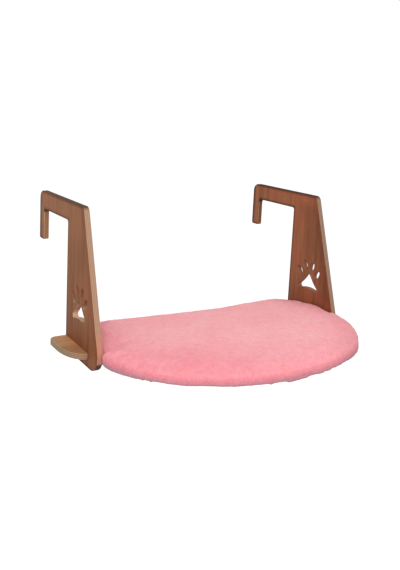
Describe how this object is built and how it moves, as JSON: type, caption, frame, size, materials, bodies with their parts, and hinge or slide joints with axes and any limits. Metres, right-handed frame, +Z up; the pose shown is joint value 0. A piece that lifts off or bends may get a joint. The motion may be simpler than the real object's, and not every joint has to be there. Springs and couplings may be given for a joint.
{
  "type": "cat radiator bed",
  "caption": "Shelf bed for a cat that hooks over a radiator: plywood side brackets with paw cut-outs, a halved shelf board and a D-shaped plush cushion with a zip.",
  "frame": {"origin": "midway between the brackets, in the plane of the stems' back edges (y = 0) and in the plane of the hook arms' undersides (z = 0), where the bed hangs on the radiator's top edge", "axes": "+Z up, +Y back towards the radiator, +X from the left bracket to the right one; the cushion's round front points to -Y"},
  "size_m": [0.516, 0.425, 0.2355],
  "materials": {
    "bracket_wood": "walnut-stained plywood faces, pale layered edges, satin",
    "board_wood": "plain plywood, light sanded face with darker layered edges, satin",
    "hook_tape": "woven hook tape, matte",
    "loop_tape": "woven loop tape, matte",
    "base_cloth": "plain woven cloth, matte",
    "plush": "short-pile plush, soft and matte",
    "foam": "open-cell foam",
    "zip_tape": "woven zip tape, matte",
    "zip_coil": "moulded coil, satin",
    "zip_metal": "nickel-plated"
  },
  "bodies": {
    "frame": {"left_bracket": "bracket_wood", "right_bracket": "bracket_wood", "shelf_board": "board_wood", "shelf_hook_tapes": "hook_tape"},
    "cushion": {"cushion_loop_tapes": "loop_tape", "cushion_base_cloth": "base_cloth", "plush_cover": "plush", "foam_core": "foam", "zip_tape_upper": "zip_tape", "zip_tape_lower": "zip_tape", "zip_coil": "zip_coil", "zip_end_stops": "zip_metal"},
    "zip_slider": {"zip_slider": "zip_metal"},
    "zip_pull": {"zip_pull": "zip_metal"}
  },
  "joints": [
    {"name": "cushion_lift", "type": "slide", "parent": "frame", "child": "cushion", "axis": [0, 0, 1], "range_m": [0, 0.1]},
    {"name": "zip_travel", "type": "slide", "parent": "cushion", "child": "zip_slider", "axis": [-1, 0, 0], "range_m": [0, 0.336]},
    {"name": "zip_pull_swing", "type": "hinge", "parent": "zip_slider", "child": "zip_pull", "pos_m": [0.168, -0.0059, -0.17929], "axis": [0, 0, -1], "range_deg": [0, 180]}
  ]
}
